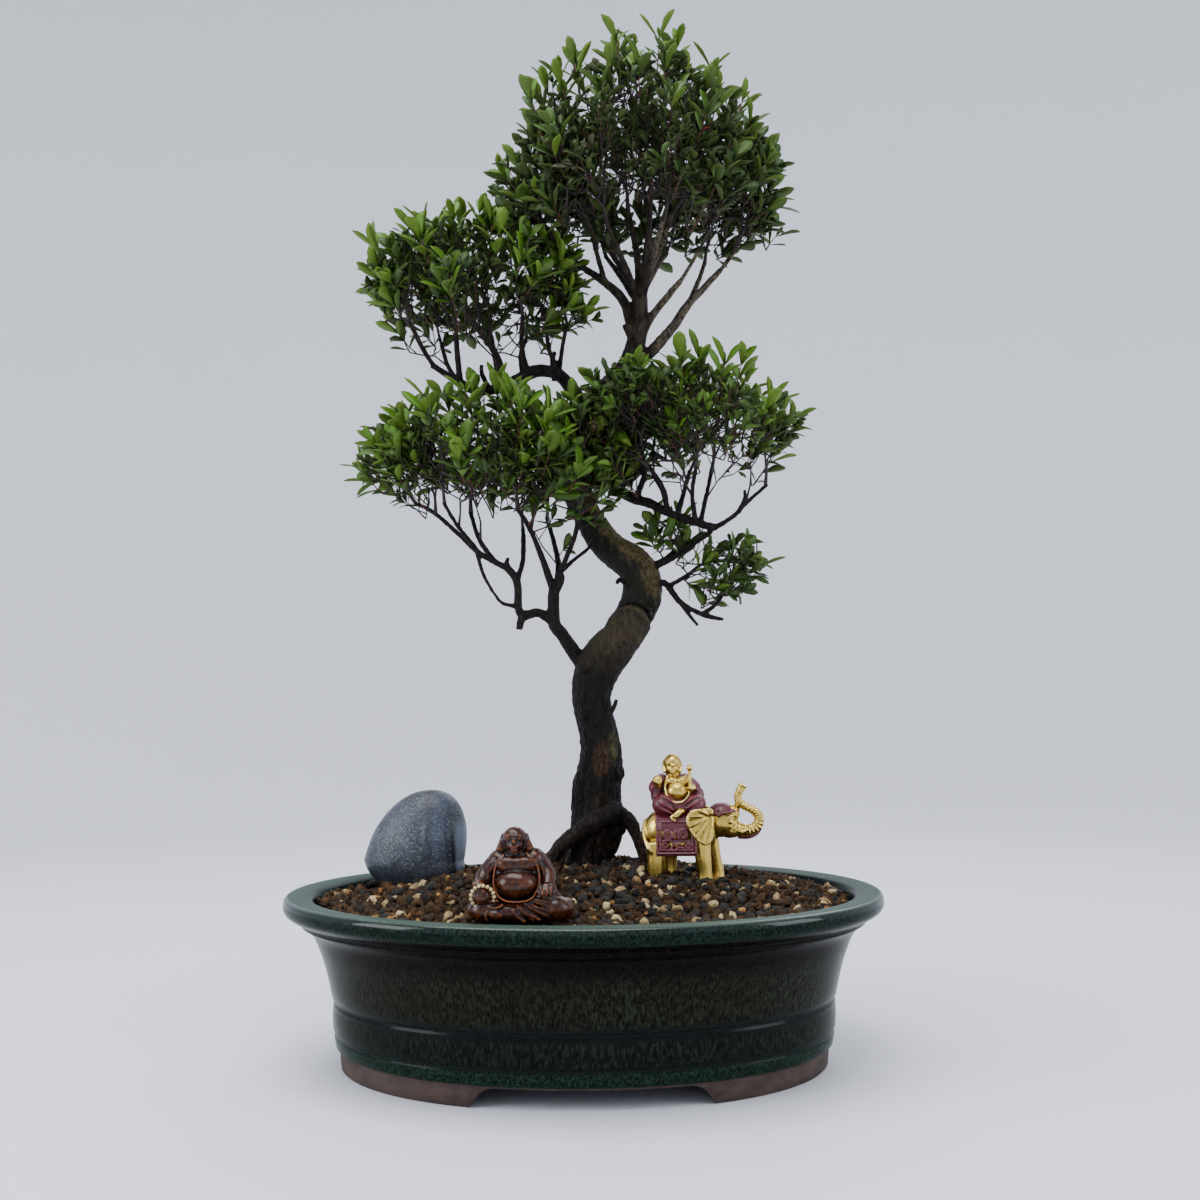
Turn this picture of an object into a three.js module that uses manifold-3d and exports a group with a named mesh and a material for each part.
// Brush cherry bonsai in its oval glazed pot, with the stone and the two small
// figures that stand on the soil. Millimetres, +Z up, the front of the pot
// towards -Y. The origin is the centre of the pot's foot, on the surface.

import * as THREE from 'three';
import { mergeVertices } from 'three/addons/utils/BufferGeometryUtils.js';
import { ConvexGeometry } from 'three/addons/geometries/ConvexGeometry.js';
import Module from 'manifold-3d';

const wasm = await Module();
wasm.setup();

// Driving dimensions: the pot
const potLength = 406;
const potWidth = 314;
const potHeight = 114;
const ovalPower = 2.05;
const potSides = 32;
const rimWidth = 20;
const footHeight = 13;
const footWidth = 14;
const floorTop = 20;
const floorLength = 130;
const archWidthTop = 132;
const archWidthBottom = 154;
const archCentre = 6;
const drainSpacing = 150;
const drainRadius = 10;
const screenSize = 34;
const screenThickness = 1;
const clearance = 0.35;

// Driving dimensions: the soil
const soilEdge = 110;
const moundHeight = 19;
const grainRelief = 1.7;

// Driving dimensions: the leafy shoots
const leafLength = 22;
const leafWidth = 10;
const leafRib = 1.5;
const stemRadius = 0.95;
const shootLength = 27;
const leafGap = 0.35;
const twigSides = 3;
const leafPairs = [[0.25, 0.95], [0.62, 1.05], [0.95, 0.9]];
const crowding = 7;
const redraws = 8;

const halfLength = potLength / 2;
const widthLoss = (potLength - potWidth) / 2;
const vector = (x, y, z) => new THREE.Vector3(x, y, z);

function seededDraw(seed) {
  let state = seed;
  return () => {
    state = (state * 1664525 + 1013904223) % 4294967296;
    return state / 4294967296;
  };
}

// Solids from geometries, and meshes from solids

function solidFrom(geometry) {
  const bare = geometry.clone();
  bare.deleteAttribute('normal');
  bare.deleteAttribute('uv');
  const merged = mergeVertices(bare, 1e-4);
  const corners = merged.index.array;
  const triangles = [];
  for (let i = 0; i < corners.length; i += 3) {
    const [a, b, c] = corners.slice(i, i + 3);
    if (a !== b && b !== c && c !== a) {
      triangles.push(a, b, c);
    }
  }
  return new wasm.Manifold(new wasm.Mesh({
    numProp: 3,
    vertProperties: new Float32Array(merged.attributes.position.array),
    triVerts: new Uint32Array(triangles),
  }));
}

function joined(solids) {
  return solids.reduce((whole, next) => whole.add(next));
}

function geometryFrom(solid) {
  const { vertProperties, triVerts } = solid.getMesh();
  const geometry = new THREE.BufferGeometry();
  geometry.setAttribute('position', new THREE.BufferAttribute(new Float32Array(vertProperties), 3));
  geometry.setIndex(new THREE.BufferAttribute(new Uint32Array(triVerts), 1));
  return geometry;
}

// Whether all corners of a solid stay distinct when they are rounded

function cornersApart(solid) {
  const geometry = geometryFrom(solid);
  return [1e-3, 1e-4].every((grid) => (
    mergeVertices(geometry, grid).attributes.position.count === geometry.attributes.position.count
  ));
}

function meshFrom(name, solid, colour, roughness, metalness = 0) {
  const geometry = geometryFrom(solid);
  geometry.computeVertexNormals();
  const material = new THREE.MeshStandardMaterial({ color: colour, roughness, metalness });
  const mesh = new THREE.Mesh(geometry, material);
  mesh.name = name;
  return mesh;
}

function warp(geometry, rule) {
  const place = geometry.attributes.position;
  for (let i = 0; i < place.count; i += 1) {
    const moved = rule(vector(place.getX(i), place.getY(i), place.getZ(i)));
    place.setXYZ(i, moved.x, moved.y, moved.z);
  }
  return geometry;
}

function block(x, y, z, width, depth, height) {
  return solidFrom(new THREE.BoxGeometry(width, depth, height).translate(x, y, z + height / 2));
}

function post(x, y, z, radius, height, sides = 16) {
  const cylinder = new THREE.CylinderGeometry(radius, radius, height, sides).rotateX(Math.PI / 2);
  return solidFrom(cylinder.translate(x, y, z + height / 2));
}

function ball([x, y, z], [halfX, halfY, halfZ], around = 6, down = 4) {
  const sphere = new THREE.SphereGeometry(1, around, down).rotateX(Math.PI / 2);
  return solidFrom(sphere.scale(halfX, halfY, halfZ).translate(x, y, z));
}

// A round limb along stations [x, y, z, radius], with a ring of corners at
// each station and between them where a span has more than one step. A swelling
// makes it and both its ends larger, which gives the hole that it stands in.

function limb(stations, sides, spanSteps = 1, swelling = 0, ripple = () => 1) {
  const centres = stations.map(([x, y, z]) => vector(x, y, z));
  const last = centres.length - 1;
  const steps = last * spanSteps;
  const firstPull = centres[0].clone().sub(centres[1]).setLength(swelling);
  const lastPull = centres[last].clone().sub(centres[last - 1]).setLength(swelling);
  centres[0].add(firstPull);
  centres[last].add(lastPull);
  const route = new THREE.CatmullRomCurve3(centres, false, 'centripetal');
  const frames = [];
  for (let step = 0; step <= steps; step += 1) {
    const along = route.getTangent(step / steps);
    const previous = frames.at(-1) ?? { along: vector(0, 1, 0), across: vector(1, 0, 0) };
    const turn = new THREE.Quaternion().setFromUnitVectors(previous.along, along);
    const across = previous.across.clone().applyQuaternion(turn);
    frames.push({ along, across, beside: along.clone().cross(across) });
  }
  const tube = new THREE.CylinderGeometry(1, 1, 1, sides, steps);
  return solidFrom(warp(tube, (point) => {
    const step = Math.round((0.5 - point.y) * steps);
    const before = Math.min(Math.floor(step / spanSteps), last - 1);
    const share = step / spanSteps - before;
    const radius = THREE.MathUtils.lerp(stations[before][3], stations[before + 1][3], share);
    const reach = radius * ripple(Math.atan2(point.z, point.x), step / steps) + swelling;
    return route.getPoint(step / steps)
      .addScaledVector(frames[step].across, point.x * reach)
      .addScaledVector(frames[step].beside, point.z * reach);
  }));
}

// Anything turned on an oval: a lathe profile of [half-length, height]. On the
// wall the half-width is a fixed amount smaller than the half-length, and on
// the floor and the soil it shrinks in proportion.

function halfWidthOf(halfLong) {
  const onWall = halfLong > floorLength;
  return onWall ? halfLong - widthLoss : halfLong * (floorLength - widthLoss) / floorLength;
}

function ovalPlace(halfLong, angle) {
  const bend = (value) => Math.sign(value) * Math.abs(value) ** (2 / ovalPower);
  return [halfLong * bend(Math.cos(angle)), halfWidthOf(halfLong) * bend(Math.sin(angle))];
}

function ovalLathe(profile) {
  const points = profile.map(([halfLong, height]) => new THREE.Vector2(halfLong, height));
  const lathe = new THREE.LatheGeometry(points, potSides).rotateX(Math.PI / 2);
  return warp(lathe, (point) => {
    const halfLong = Math.hypot(point.x, point.y);
    const [x, y] = ovalPlace(halfLong, Math.atan2(point.y, point.x));
    return vector(x, y, point.z);
  });
}

// Pot: the glazed bowl with its rolled rim, two bands low on the wall, and a
// foot cut away in the middle of the front and the back

const footOuter = halfLength - 39;
const innerWall = [
  [halfLength - rimWidth, potHeight - 1.5],
  [halfLength - rimWidth - 2, potHeight - 9],
  [169, 76],
  [161, floorTop],
];

function makePot() {
  const outerWall = [
    [footOuter - footWidth, footHeight],
    [footOuter - footWidth, 0],
    [footOuter, 0],
    [footOuter + 1, footHeight],
    [halfLength - 35.5, footHeight + 1.5],
    [halfLength - 34.5, 22],
    [halfLength - 36, 24],
    [halfLength - 34, 26],
    [halfLength - 33.5, 43],
    [halfLength - 35, 45],
    [halfLength - 33, 47],
    [halfLength - 28, 68],
    [halfLength - 21, 87],
    [halfLength - 12, 95],
    [halfLength - 3, 98.5],
    [halfLength, 104],
    [halfLength - 1.5, 111],
    [halfLength - 6, potHeight],
  ];
  const profile = [[0, footHeight], ...outerWall, ...innerWall, [0, floorTop]];
  const bowl = solidFrom(ovalLathe(profile));
  const archShape = new THREE.Shape([
    new THREE.Vector2(archCentre - archWidthBottom / 2, -1),
    new THREE.Vector2(archCentre + archWidthBottom / 2, -1),
    new THREE.Vector2(archCentre + archWidthTop / 2, footHeight - 0.2),
    new THREE.Vector2(archCentre - archWidthTop / 2, footHeight - 0.2),
  ]);
  const archPrism = new THREE.ExtrudeGeometry(archShape, { depth: potWidth, bevelEnabled: false });
  const arch = solidFrom(archPrism.rotateX(Math.PI / 2).translate(0, potWidth / 2, 0));
  const drains = [-1, 1].map((side) => post(side * drainSpacing / 2, 0, 5, drainRadius, 20));
  return drains.reduce((pot, drain) => pot.subtract(drain), bowl.subtract(arch));
}

function makeScreen(side) {
  const slots = 3;
  const pitch = screenSize / slots;
  const left = side * drainSpacing / 2;
  let screen = block(left, 0, floorTop + clearance, screenSize, screenSize, screenThickness);
  for (let slot = 0; slot < slots; slot += 1) {
    const x = left + (slot - (slots - 1) / 2) * pitch;
    screen = screen.subtract(block(x, 0, floorTop, pitch - 3, screenSize - 5, 4));
  }
  return screen;
}

// Trunk: the stem with its surface roots and the limbs that carry the pads

const trunkLine = [
  [3, 20, 92, 11], [3, 20, 112, 14.5], [4, 20, 130, 15], [9, 20, 153, 18.3],
  [10, 20, 180, 17.4], [12, 20, 201, 15.3], [10, 20, 222, 13.8], [6, 20, 243, 13.8],
  [8, 20, 258, 15.2], [15, 18, 273, 16], [27, 15, 287, 15.2], [36, 14, 302, 14.8],
  [43, 14, 320, 14.6], [38, 15, 337, 13.6], [18, 18, 353, 11.6], [5, 20, 372, 10.6],
  [-4, 20, 392, 10.1], [-5, 19, 414, 10], [1, 17, 437, 10.6], [14, 15, 458, 10],
  [32, 12, 478, 8.5], [40, 9, 500, 7.2], [42, 5, 524, 6.2], [42, 4, 541, 5],
];

const roots = [
  [[22, 16, 170, 6], [18, 3, 164, 6.4], [2, -1, 157, 6], [-18, 9, 139, 5.4], [-35, 16, 112, 3.4]],
  [[16, 14, 168, 7], [31, 10, 159, 5.2], [38, 9, 138, 4], [45, 9, 112, 2.8]],
  [[2, 22, 146, 8], [-11, 38, 130, 5.6], [-24, 52, 110, 3]],
  [[8, 24, 142, 8], [16, 40, 127, 5.6], [28, 52, 108, 3]],
];

const stubs = [
  [[12, 14, 228, 4], [22, 10, 238, 2.6], [26, 9, 247, 2]],
  [[-33, 0, 303, 3.6], [-42, -2, 299, 3.6], [-44, -2, 290, 3.4]],
  [[44, 12, 300, 4], [66, 4, 317, 3.2], [76, -2, 307, 2.8], [97, -6, 298, 2]],
];

// Each limb ends where its leafy spray begins. The last number is a radius.

const limbs = {
  lower_left: {
    carriers: [
      [[4, 20, 262, 6], [-6, 17, 277, 5.4], [-14, 9, 289, 4.8], [-19, 4, 300, 4.6],
        [-19, 0, 321, 4.2]],
      [[-19, 4, 298, 4], [-33, 0, 303, 3.6], [-43, -2, 303, 3.4], [-46, -5, 320, 3.2], [-53, -10, 338, 2.8]],
    ],
    ends: [
      [[-19, 0, 320, 3.8], [-27, -9, 347, 3], [-40, -24, 372, 2.3]],
      [[-19, 1, 314, 3.2], [-14, -4, 345, 2.6], [-4, -28, 376, 2]],
      [[-19, 1, 309, 3.2], [-22, 14, 348, 2.6], [-30, 36, 378, 2]],
      [[-51, -9, 334, 2.6], [-63, 2, 358, 2.3], [-72, 22, 380, 2]],
      [[-53, -10, 338, 2.8], [-68, -20, 353, 2.4], [-84, -38, 376, 1.9]],
      [[-66, -18, 350, 2.2], [-88, -16, 366, 2.1], [-112, -12, 380, 1.8]],
    ],
  },
  upper_left: {
    carriers: [
      [[2, 16, 448, 7], [-8, 15, 466, 5.2], [-17, 13, 477, 4.8], [-30, 12, 479, 4.6],
        [-42, 12, 475, 4.6], [-54, 12, 468, 4.2], [-76, 8, 464, 3.2]],
    ],
    ends: [
      [[-28, 12, 479, 3], [-22, 0, 494, 2.5], [-18, -20, 510, 2]],
      [[-40, 12, 476, 3.2], [-39, 24, 494, 2.6], [-36, 38, 512, 2]],
      [[-54, 12, 468, 4], [-59, 2, 492, 3], [-62, -16, 512, 2.2]],
      [[-70, 9, 465, 3], [-90, 20, 480, 2.6], [-100, 26, 500, 2]],
      [[-75, 8, 464, 3], [-98, -5, 474, 2.6], [-114, -16, 492, 2]],
    ],
  },
  crown: {
    carriers: [
      [[40, 10, 500, 4.6], [31, 8, 518, 4], [19, 5, 534, 3.6], [-8, -2, 552, 2.4]],
      [[40, 10, 490, 5], [56, 11, 504, 4], [69, 14, 516, 3.6], [94, 20, 550, 2.4]],
    ],
    ends: [
      [[-6, -2, 551, 2.3], [-13, -4, 555, 2.2]],
      [[92, 20, 548, 2.3], [97, 22, 554, 2.2]],
      [[42, 6, 520, 3.8], [52, -10, 548, 3], [62, -28, 572, 2.2]],
      [[42, 5, 527, 3.6], [28, -10, 551, 3], [14, -30, 570, 2.2]],
      [[42, 6, 523, 3.6], [30, 24, 549, 3], [18, 42, 570, 2.2]],
      [[42, 5, 529, 3.6], [55, 24, 555, 3], [64, 42, 572, 2.2]],
      [[42, 4, 536, 4], [40, 3, 562, 3], [34, 2, 590, 2.3]],
      [[42, 4, 532, 3.4], [60, 2, 564, 2.8], [72, 4, 588, 2.2]],
    ],
  },
  right: {
    carriers: [
      [[-3, 18, 412, 6], [14, 14, 402, 5], [34, 6, 391, 4.4], [54, -4, 380, 4],
        [70, -9, 370, 3.6], [88, -14, 360, 3]],
    ],
    ends: [
      [[87, -13, 360, 2.8], [102, -17, 367, 2.2], [116, -20, 377, 1.8]],
      [[68, -8, 371, 3], [74, -26, 387, 2.4], [80, -40, 402, 2]],
      [[76, -11, 367, 3], [86, 10, 386, 2.4], [94, 28, 404, 2]],
      [[38, 4, 389, 3.2], [44, -16, 402, 2.5], [44, -36, 414, 2]],
      [[26, 9, 395, 3.2], [42, 26, 407, 2.5], [54, 36, 422, 2]],
    ],
  },
  lower_right: {
    carriers: [],
    ends: [
      [[44, 12, 322, 3.6], [56, 6, 334, 2.4], [60, 2, 342, 1.7]],
      [[92, -5, 300, 2.2], [98, -2, 306, 1.9], [101, 0, 312, 1.7]],
    ],
  },
};

// Foliage pads: a dome of shoot tips round each set of limb ends. lowest is
// the sine of the lowest direction in which the dome still carries shoots.

const pads = {
  crown: { centre: [42, 4, 624], half: [100, 80, 92], lowest: -0.5, tips: 23 },
  upper_left: { centre: [-74, 2, 534], half: [76, 58, 56], lowest: -0.45, tips: 12 },
  lower_left: { centre: [-62, -10, 418], half: [88, 66, 44], lowest: -0.35, tips: 12 },
  right: { centre: [84, -4, 434], half: [68, 60, 50], lowest: -0.45, tips: 10 },
  lower_right: { centre: [88, 0, 344], half: [34, 26, 28], lowest: -0.3, tips: 4 },
};

function makeStemAndRoots(swelling = 0) {
  const bulge = (angle, share) => (
    1 + 0.05 * Math.sin(3 * angle + 9 * share) + 0.03 * Math.sin(5 * angle - 14 * share)
  );
  return joined([
    limb(trunkLine, 8, 1, swelling, bulge),
    ...roots.map((line) => limb(line, 5, 1, swelling)),
  ]);
}

function makeTrunk() {
  const limbSolids = Object.values(limbs).flatMap(({ carriers, ends }) => [
    ...carriers.map((line) => limb(line, 5)),
    ...ends.map((line) => limb(line, 4)),
  ]);
  return joined([makeStemAndRoots(), ...stubs.map((line) => limb(line, 4)), ...limbSolids]);
}

// Leafy sprays. Every solid already placed is kept in taken, with the shoot
// that it belongs to, so that no new twig or leaf comes nearer than leafGap.

const taken = [];

function boxesApart(a, b) {
  return [0, 1, 2].some((axis) => (
    a.min[axis] > b.max[axis] + leafGap || b.min[axis] > a.max[axis] + leafGap
  ));
}

function isClear(solid, ownShoots) {
  const box = solid.boundingBox();
  return taken.every(({ solid: other, box: otherBox, shoot }) => ownShoots.includes(shoot)
    || boxesApart(box, otherBox)
    || solid.minGap(other, leafGap) >= leafGap);
}

function take(solid, shoot) {
  taken.push({ solid, box: solid.boundingBox(), shoot });
}

// One leaf blade along +X: an obovate top with a keel below as its midrib. Its
// root lies in the middle of the stem, and its margins and tip turn down.

function makeBlade() {
  const outline = [[0.62, 0.5], [1, 0.14]];
  const margins = outline.flatMap(([along, across]) => [-1, 1].map(
    (side) => vector(along * leafLength, side * across * leafWidth, 0),
  ));
  const root = vector(-0.25 * stemRadius, 0, 0);
  const keel = vector(0.32 * leafLength, 0, -leafRib);
  const droop = 0.08 / leafLength;
  const flat = new ConvexGeometry([root, ...margins, keel]);
  return warp(flat, ({ x, y, z }) => vector(x, y, z - droop * x * x));
}

const blade = makeBlade();

function leafAt(root, axis, upperFace, size) {
  const side = upperFace.clone().cross(axis).normalize();
  const face = axis.clone().cross(side).normalize();
  const pose = new THREE.Matrix4().makeBasis(axis, side, face);
  pose.scale(vector(size, size, Math.max(size, 0.9))).setPosition(root);
  return solidFrom(blade.clone().applyMatrix4(pose));
}

const thickness = (tipCount) => stemRadius * tipCount ** 0.42;
const station = (point, radius) => [point.x, point.y, point.z, radius];

function drawnTogether(spray, path, tip, pull) {
  const from = vector(...path.at(-1));
  const end = from.clone().lerp(tip, pull);
  const heading = end.clone().sub(spray.heart).normalize();
  const rise = heading.lerp(vector(0, 0, 1), 0.45).normalize();
  const stemLength = Math.min(shootLength, 0.75 * from.distanceTo(end));
  const knee = end.clone().addScaledVector(rise, -stemLength);
  const line = [...path, station(knee, stemRadius), station(end, 0.7 * stemRadius)];
  return { knee, rise, end, line };
}

// The shoot at the end of a twig: a stem with opposite pairs of leaves, each
// pair turned a quarter from the last one. A stem that would touch another is
// drawn in towards its fork, and is left out if that isn't enough.

function growShoot(spray, path, tip, draw) {
  const pulls = [1, 0.9, 0.8, 0.7];
  const tries = pulls.map((pull) => drawnTogether(spray, path, tip, pull));
  const shoot = tries.find(({ line }) => isClear(limb(line, twigSides), [spray.name]));
  if (!shoot) {
    return path.length > 1 ? [limb(path, twigSides)] : [];
  }
  const { knee, rise, end, line } = shoot;
  const shootName = `${spray.name} at ${tip.x.toFixed(2)}`;
  const stem = limb(line, twigSides);
  take(stem, spray.name);
  const square = vector(rise.y, -rise.x, 0.2).cross(rise).normalize();
  const firstTurn = draw() * Math.PI;
  const leaves = [];
  leafPairs.forEach(([share, size], pair) => {
    [0, 1].forEach((half) => {
      const turn = firstTurn + pair * Math.PI / 2 + half * Math.PI + (draw() - 0.5) * 0.5;
      const outward = square.clone().applyAxisAngle(rise, turn);
      const spread = THREE.MathUtils.degToRad(62 - 26 * share + 14 * (draw() - 0.5));
      const [alongStem, offStem] = [Math.cos(spread), Math.sin(spread)];
      const axis = rise.clone().multiplyScalar(alongStem).addScaledVector(outward, offStem);
      const upperFace = rise.clone().multiplyScalar(offStem).addScaledVector(outward, -alongStem);
      const leaf = leafAt(knee.clone().lerp(end, share), axis, upperFace, size * (0.9 + 0.25 * draw()));
      if (isClear(leaf, [spray.name, shootName])) {
        leaves.push(leaf);
        take(leaf, shootName);
      }
    });
  });
  return [stem, ...leaves];
}

// A twig that forks again and again until each fork holds one tip. Half of the
// tips are reached by the twig itself and half by a new one from the fork.

function ramify(spray, path, tips, draw) {
  if (tips.length === 1) {
    return growShoot(spray, path, tips[0], draw);
  }
  const middle = tips.reduce((sum, tip) => sum.add(tip), vector(0, 0, 0)).divideScalar(tips.length);
  const fork = vector(...path.at(-1)).lerp(middle, 0.36);
  const spans = ['x', 'y', 'z'].map((axis) => {
    const values = tips.map((tip) => tip[axis]);
    return [axis, Math.max(...values) - Math.min(...values)];
  });
  const [widest] = spans.sort((a, b) => b[1] - a[1])[0];
  const ordered = [...tips].sort((a, b) => a[widest] - b[widest]);
  const cut = Math.ceil(ordered.length / 2);
  const near = ordered.slice(0, cut);
  const far = ordered.slice(cut);
  return [
    ...ramify(spray, [...path, station(fork, thickness(near.length))], near, draw),
    ...ramify(spray, [station(fork, thickness(far.length) * 0.9)], far, draw),
  ];
}

function padTips({ centre, half, lowest, tips }) {
  const goldenTurn = Math.PI * (3 - Math.sqrt(5));
  return Array.from({ length: tips }, (_, index) => {
    const height = 1 - (1 - lowest) * (index + 0.5) / tips;
    const ring = Math.sqrt(1 - height * height);
    const depth = index % 3 === 2 ? 0.74 : 1;
    return vector(
      centre[0] + half[0] * depth * ring * Math.cos(index * goldenTurn),
      centre[1] + half[1] * depth * ring * Math.sin(index * goldenTurn),
      centre[2] + half[2] * depth * height,
    );
  });
}

// A spray is drawn again until none of its leaves meets its stem in two
// corners so close that they can't be told apart.

function makeSpray(padName, number, start, onward, tips) {
  const name = `${padName}_spray_${number}`;
  const [x, y, z] = pads[padName].centre;
  const spray = { name, heart: vector(x, y, z - 0.4 * pads[padName].half[2]) };
  const collar = [start, start.clone().addScaledVector(onward, 3)];
  const path = collar.map((point) => station(point, thickness(tips.length)));
  const placed = taken.length;
  let solid;
  let round = 0;
  do {
    taken.length = placed;
    solid = joined(ramify(spray, path, tips, seededDraw(number * 97 + round * 13 + padName.length)));
    round += 1;
  } while (!cornersApart(solid) && round < redraws);
  return { name, solid };
}

function makeSprays(padName) {
  const ends = limbs[padName].ends.map((line) => {
    const [before, end] = line.slice(-2).map(([x, y, z]) => vector(x, y, z));
    const onward = end.clone().sub(before).normalize();
    return { start: end.clone().addScaledVector(onward, 2 * clearance), onward, tips: [] };
  });
  padTips(pads[padName]).forEach((tip) => {
    const costs = ends.map(({ start, onward, tips }) => {
      const run = tip.clone().sub(start);
      const distance = run.length();
      return distance * (1.3 - 0.3 * onward.dot(run.normalize())) + crowding * tips.length;
    });
    ends[costs.indexOf(Math.min(...costs))].tips.push(tip);
  });
  return ends.map(({ start, onward, tips }, index) => (
    makeSpray(padName, index + 1, start, onward, tips)
  ));
}

// Stone: an egg with a steep right flank, its foot below the soil

function makeStone(swelling = 0) {
  const [halfX, halfY, halfZ] = [39 + swelling, 25 + swelling, 38 + swelling];
  const sphere = new THREE.SphereGeometry(1, 12, 8).rotateX(Math.PI / 2);
  const stone = warp(sphere, (point) => {
    const flank = point.x > 0 ? Math.sign(point.x) * Math.abs(point.x) ** 0.72 : point.x;
    const lean = 0.12 * point.z;
    return vector(halfX * (flank * 0.96 + lean - 0.04), halfY * point.y, halfZ * point.z);
  });
  return solidFrom(stone.rotateZ(-0.3).translate(-123, 46, 141));
}

// Seated figure: cross-legged, round-bellied, one hand on a gourd

const seatedPlace = [-37, -116, 112];

function makeSeatedFigure() {
  const parts = [
    ball([0, 1, 7], [28, 15, 11], 10, 5),
    ball([-18, -6, 7], [12, 10, 8]),
    ball([19, -6, 7], [11, 10, 8]),
    ball([-2, 2, 25], [19, 11, 19], 8, 5),
    ball([-3, -5, 22], [13.5, 11, 13.5], 8, 5),
    ball([-4.5, -1, 48.5], [7, 7.2, 9], 8, 5),
    ball([-12, 0, 44], [2, 2.6, 6.5], 4, 2),
    ball([3, 0, 44], [2, 2.6, 6.5], 4, 2),
    limb([[-18, 2, 34, 6.5], [-26, -1, 27, 5], [-26, -8, 20, 4]], 4),
    limb([[14, 2, 34, 6.5], [22, -1, 27, 5], [18, -10, 19, 3.8]], 4),
    ball([-24, -10, 14.5], [6, 5, 6.5], 5, 3),
  ];
  const below = block(0, 0, -40, 120, 120, 40);
  return joined(parts).subtract(below).translate(seatedPlace);
}

function seatedHole() {
  const footing = new THREE.CylinderGeometry(31 + clearance, 31 + clearance, 40, 12).rotateX(Math.PI / 2);
  const [x, y, z] = seatedPlace;
  return solidFrom(footing.scale(1, 0.56, 1).translate(x, y, z + 20 - clearance));
}

// Rider on an elephant: the elephant looks towards +X with its nose raised

const riderPlace = [76, -12, 119];
const elephantFeet = [[3, -7], [10, 7], [-28, -7], [-20, 7]];
const footRadius = 5.6;

function makeElephantRider() {
  const legs = elephantFeet.map(([x, y]) => limb([[x, y, 0, footRadius], [x, y, 33, 5.6]], 6));
  const body = ball([-15, 0, 34], [24, 13.5, 16], 8, 6);
  const cloth = ball([-15, 0, 34], [25.5, 15.2, 17.6], 8, 6).intersect(block(-18, 0, 17, 30, 60, 60));
  const nose = [[22, 0, 31, 6], [34, 0, 29, 4.4], [43, 0, 38, 3.8], [39, 0, 49, 3.3],
    [29, 0, 54, 2.8], [28, 0, 63, 3.8]];
  const rider = [
    ball([-15, 0, 52], [19, 12.5, 8], 8, 4),
    ball([-16.5, 0, 63], [10.5, 9, 13], 7, 5),
    ball([-18, -1, 78], [5.6, 5.6, 7], 7, 4),
    limb([[-22, -1, 70, 4.2], [-30, -4, 63, 3.8], [-29, -9, 66, 3.2]], 4),
    limb([[-11, -1, 70, 4.2], [-4, -4, 62, 3.8], [-7, -9, 62, 3.2]], 4),
    limb([[-7, -10, 58, 1.7], [-7, -9, 74, 2.4]], 4),
  ];
  const parts = [
    ...legs, body, cloth,
    ball([-2, 0, 38], [14, 10.5, 12]),
    ball([17, 0, 37], [12, 9, 12], 8, 5),
    ball([0, -13, 35], [9.5, 2.2, 13], 7, 2),
    ball([0, 13, 35], [9.5, 2.2, 13], 7, 2),
    limb(nose, 5),
    limb([[-33, 0, 40, 2.4], [-41, 0, 28, 1.8], [-39, -2, 17, 2.6]], 4),
    ...rider,
  ];
  return joined(parts).translate(riderPlace);
}

function elephantHoles() {
  const [x, y, z] = riderPlace;
  return elephantFeet.map(([footX, footY]) => post(
    x + footX, y + footY, z - clearance, (footRadius + clearance) / Math.cos(Math.PI / 8), 24, 8,
  ));
}

// Soil: fills the bowl, mounded towards the trunk, its top rough with grains

function moundAt(x, y) {
  const spread = Math.hypot((x - 8) / 165, (y - 18) / 120);
  return soilEdge + moundHeight * Math.max(0, 1 - spread * spread) ** 1.3;
}

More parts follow.
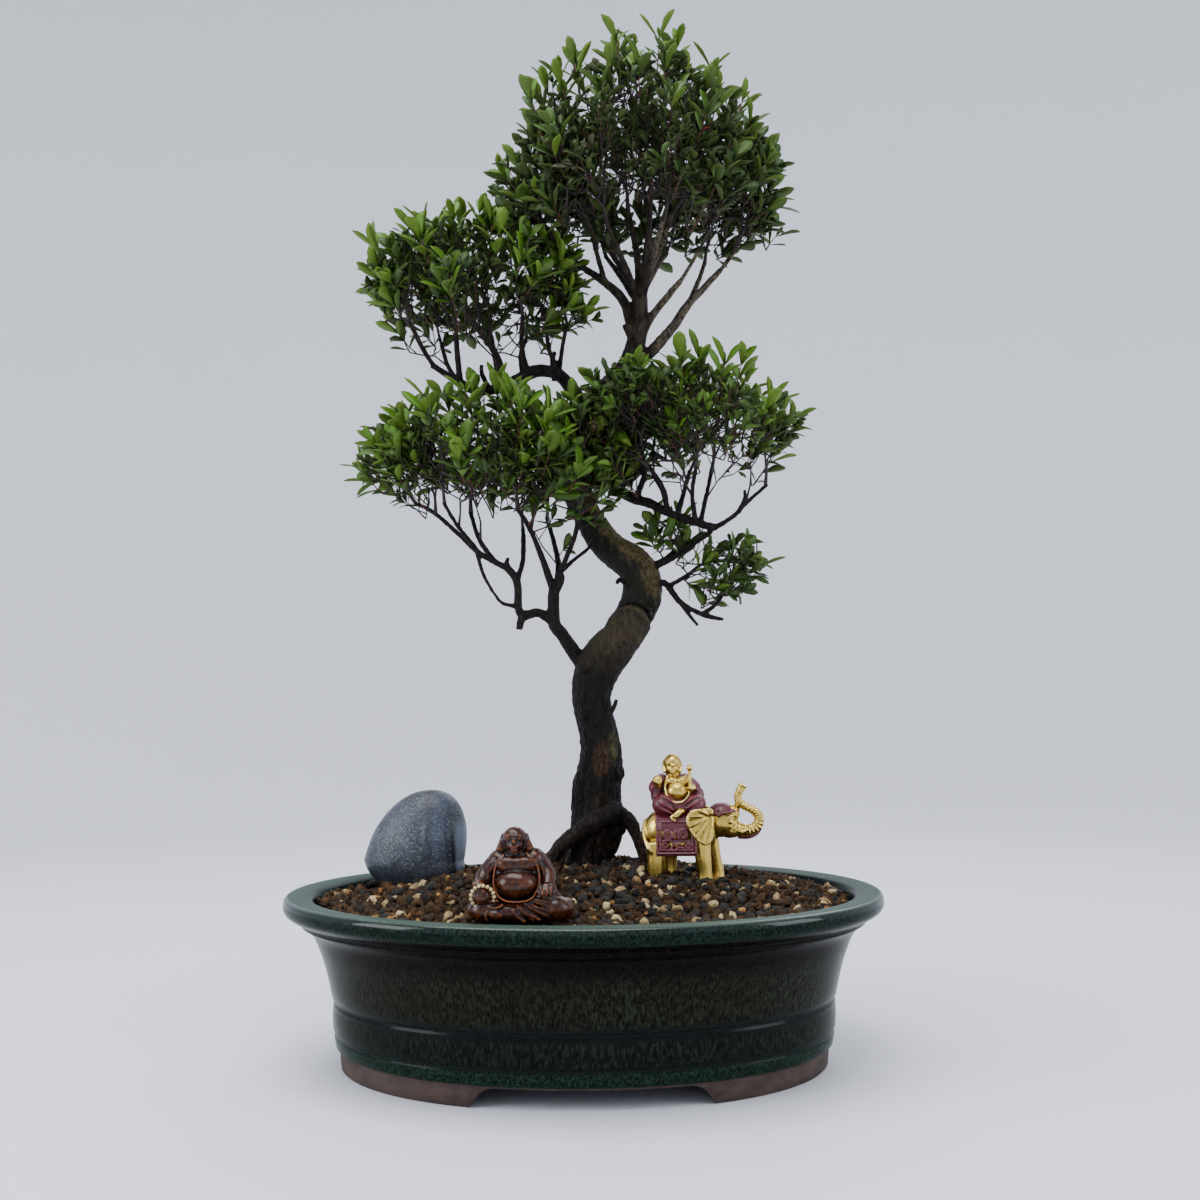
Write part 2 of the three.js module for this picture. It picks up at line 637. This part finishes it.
function grainsAt(x, y) {
  const alongX = Math.sin(0.62 * x + 2 * Math.sin(0.19 * y));
  const alongY = Math.cos(0.71 * y + 2 * Math.sin(0.23 * x));
  return grainRelief * alongX * alongY;
}

function makeSoil() {
  const wall = innerWall.slice(1).reverse().map(([halfLong, height]) => [halfLong - clearance, height]);
  wall[0] = [wall[0][0] - 0.4, floorTop + clearance];
  const rings = [166, 147, 125, 100, 72, 40, 0];
  const topEdge = [halfLength - rimWidth - 1.6 - clearance, soilEdge - 1];
  const top = rings.map((halfLong) => [halfLong, soilEdge]);
  const profile = [[0, floorTop + clearance], ...wall, topEdge, ...top];
  const rough = warp(ovalLathe(profile), ({ x, y, z }) => (
    z < soilEdge - 0.5 ? vector(x, y, z) : vector(x, y, moundAt(x, y) + grainsAt(x, y))
  ));
  const screens = [-1, 1].map((side) => block(
    side * drainSpacing / 2, 0, floorTop - 1,
    screenSize + 2 * clearance, screenSize + 2 * clearance, screenThickness + 1 + 2 * clearance,
  ));
  const standing = [makeStemAndRoots(clearance), makeStone(clearance), seatedHole(), ...elephantHoles()];
  return [...standing, ...screens].reduce((soil, hole) => soil.subtract(hole), solidFrom(rough));
}

// The whole object

const trunk = makeTrunk();
take(trunk, 'trunk');
const bark = 0x3a3128;
const foliage = 0x3f6b2a;

const group = new THREE.Group();
group.add(meshFrom('pot', makePot(), 0x1f2c26, 0.25));
group.add(meshFrom('drain_screen_left', makeScreen(-1), 0x2b2b2b, 0.7));
group.add(meshFrom('drain_screen_right', makeScreen(1), 0x2b2b2b, 0.7));
group.add(meshFrom('soil', makeSoil(), 0x4a3527, 0.95));
group.add(meshFrom('trunk', trunk, bark, 0.9));
group.add(meshFrom('stone', makeStone(), 0x6f7a84, 0.6));
group.add(meshFrom('seated_figure', makeSeatedFigure(), 0x4a1f14, 0.35));
group.add(meshFrom('elephant_rider', makeElephantRider(), 0xa98f45, 0.35, 0.6));
Object.keys(pads).flatMap(makeSprays).forEach(({ name, solid }) => {
  group.add(meshFrom(name, solid, foliage, 0.45));
});

export default group;
